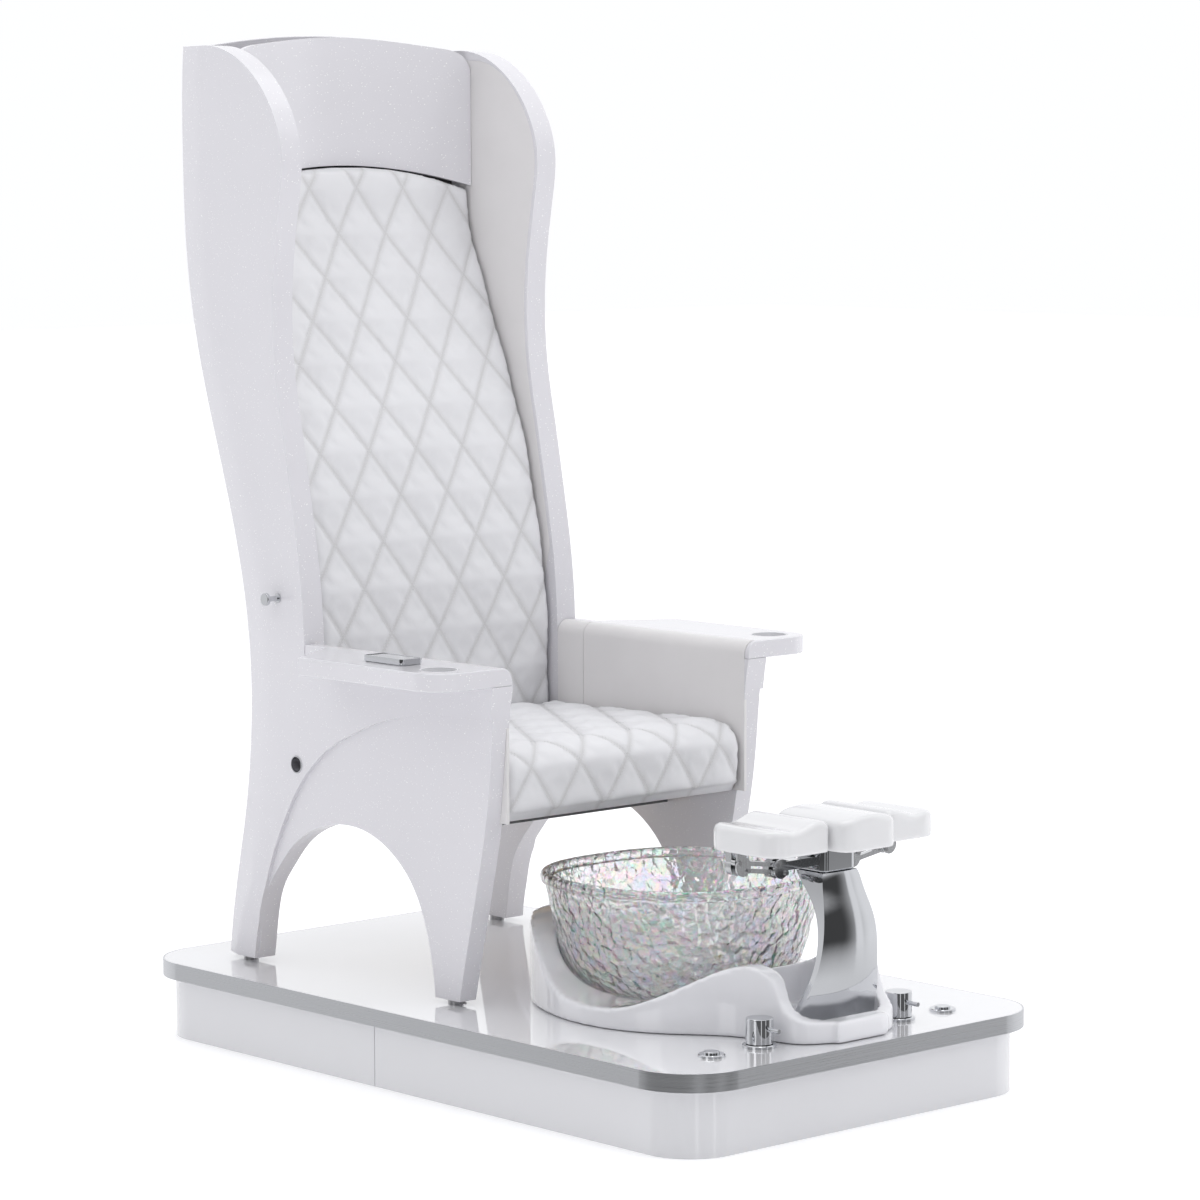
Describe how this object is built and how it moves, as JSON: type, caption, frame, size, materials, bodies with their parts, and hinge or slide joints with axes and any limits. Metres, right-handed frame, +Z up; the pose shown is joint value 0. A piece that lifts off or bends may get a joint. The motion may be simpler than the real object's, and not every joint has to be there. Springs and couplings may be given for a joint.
{
  "type": "pedicure spa chair",
  "caption": "Wing-backed pedicure chair on a plumbed platform with a glass foot basin, taps and a padded footrest on a chrome column.",
  "frame": {"origin": "centre of the platform on the floor", "axes": "+Z up, the sitter faces -Y, the sitter's right hand is at -X"},
  "size_m": [0.94, 1.53, 1.9059],
  "materials": {
    "frame_steel": "satin",
    "black_rubber": "matte",
    "white_gloss": "gloss",
    "deck_gloss": "high gloss",
    "brushed_trim": "brushed",
    "chrome": "polished",
    "basin_white": "high gloss",
    "bowl_glass": "hammered, iridescent",
    "pipe_plastic": "matte",
    "brass_body": "cast",
    "pad_white": "gloss",
    "bracket_steel": "polished",
    "screw_steel": "zinc",
    "glitter_white": "gel coat with fine glitter",
    "lining_satin": "satin",
    "board_wood": "plywood",
    "dark_board": "stained dark",
    "quilted_leather": "soft, double stitched",
    "liner_white": "satin",
    "remote_white": "gloss"
  },
  "bodies": {
    "chair": {"air_button_flanges": "chrome", "back_board": "dark_board", "back_cushion": "quilted_leather", "back_shell": "glitter_white", "bag_hook": "chrome", "basin_cradle": "basin_white", "centre_pad": "pad_white", "column_head": "chrome", "cup_liners": "liner_white", "deck_board": "deck_gloss", "deck_bolts": "chrome", "deck_edge_trim": "brushed_trim", "drain_flange": "chrome", "drain_gasket": "black_rubber", "drain_pipe": "pipe_plastic", "footrest_column": "chrome", "glass_bowl": "bowl_glass", "headrest_panel": "glitter_white", "inner_brackets": "bracket_steel", "inner_pivot_screws": "screw_steel", "left_arm_lining_front": "lining_satin", "left_arm_lining_rear": "lining_satin", "left_arm_tray": "glitter_white", "left_side_shell": "glitter_white", "left_wing_lining": "lining_satin", "leg_feet": "screw_steel", "levelling_feet": "black_rubber", "mixing_valves": "brass_body", "plinth_frame": "frame_steel", "pump_housing": "pipe_plastic", "remote_body": "remote_white", "remote_frame": "chrome", "right_arm_lining_front": "lining_satin", "right_arm_lining_rear": "lining_satin", "right_arm_tray": "glitter_white", "right_side_shell": "glitter_white", "right_wing_lining": "lining_satin", "seat_board": "board_wood", "seat_cushion": "quilted_leather", "seat_rails": "frame_steel", "side_grommets": "chrome", "skirt_front": "white_gloss", "skirt_rear": "white_gloss", "tap_flanges": "chrome"},
    "right_upper_link_arm": {"right_upper_link": "bracket_steel"},
    "right_lower_link_arm": {"right_lower_link": "bracket_steel"},
    "right_footrest_pad": {"right_pad": "pad_white", "right_outer_bracket": "bracket_steel", "right_pad_screws": "screw_steel"},
    "right_tap": {"right_tap_handle": "chrome"},
    "right_air_switch": {"right_air_button": "chrome"},
    "left_upper_link_arm": {"left_upper_link": "bracket_steel"},
    "left_lower_link_arm": {"left_lower_link": "bracket_steel"},
    "left_footrest_pad": {"left_pad": "pad_white", "left_outer_bracket": "bracket_steel", "left_pad_screws": "screw_steel"},
    "left_tap": {"left_tap_handle": "chrome"},
    "left_air_switch": {"left_air_button": "chrome"},
    "drain_plug": {"drain_stopper": "chrome"},
    "pump_rotor": {"pump_impeller": "pipe_plastic"}
  },
  "joints": [
    {"name": "right_pad_swing", "type": "hinge", "parent": "chair", "child": "right_upper_link_arm", "pos_m": [-0.1, -0.612, 0.453], "axis": [0, 1, 0], "range_deg": [-28, 0]},
    {"name": "right_lower_link_swing", "type": "hinge", "parent": "chair", "child": "right_lower_link_arm", "pos_m": [-0.078, -0.612, 0.437], "axis": [0, 1, 0], "range_deg": [-28, 0]},
    {"name": "right_pad_levelling", "type": "hinge", "parent": "right_upper_link_arm", "child": "right_footrest_pad", "pos_m": [-0.191, -0.612, 0.467], "axis": [0, 1, 0], "range_deg": [0, 28]},
    {"name": "right_tap_turn", "type": "hinge", "parent": "chair", "child": "right_tap", "pos_m": [-0.172, -0.652, 0.18], "axis": [0, 0, 1], "range_deg": [-90, 0]},
    {"name": "right_air_button_press", "type": "slide", "parent": "chair", "child": "right_air_switch", "axis": [0, 0, -1], "range_m": [0, 0.004], "stiffness_N_per_m": 800, "springref_m": -0.001},
    {"name": "left_pad_swing", "type": "hinge", "parent": "chair", "child": "left_upper_link_arm", "pos_m": [0.1, -0.612, 0.453], "axis": [0, 1, 0], "range_deg": [0, 28]},
    {"name": "left_lower_link_swing", "type": "hinge", "parent": "chair", "child": "left_lower_link_arm", "pos_m": [0.078, -0.612, 0.437], "axis": [0, 1, 0], "range_deg": [0, 28]},
    {"name": "left_pad_levelling", "type": "hinge", "parent": "left_upper_link_arm", "child": "left_footrest_pad", "pos_m": [0.191, -0.612, 0.467], "axis": [0, 1, 0], "range_deg": [-28, 0]},
    {"name": "left_tap_turn", "type": "hinge", "parent": "chair", "child": "left_tap", "pos_m": [0.172, -0.652, 0.18], "axis": [0, 0, 1], "range_deg": [0, 90]},
    {"name": "left_air_button_press", "type": "slide", "parent": "chair", "child": "left_air_switch", "axis": [0, 0, -1], "range_m": [0, 0.004], "stiffness_N_per_m": 800, "springref_m": -0.001},
    {"name": "drain_stopper_lift", "type": "slide", "parent": "chair", "child": "drain_plug", "axis": [0, 0, 1], "range_m": [0, 0.012]},
    {"name": "pump_impeller_spin", "type": "hinge", "parent": "chair", "child": "pump_rotor", "pos_m": [0.165, 0.02, 0.06], "axis": [0, 0, 1], "continuous": true}
  ],
  "couplings": [
    {"joint": "right_lower_link_swing", "follows": "right_pad_swing", "ratio": 1},
    {"joint": "right_pad_levelling", "follows": "right_pad_swing", "ratio": -1},
    {"joint": "left_lower_link_swing", "follows": "left_pad_swing", "ratio": 1},
    {"joint": "left_pad_levelling", "follows": "left_pad_swing", "ratio": -1}
  ]
}
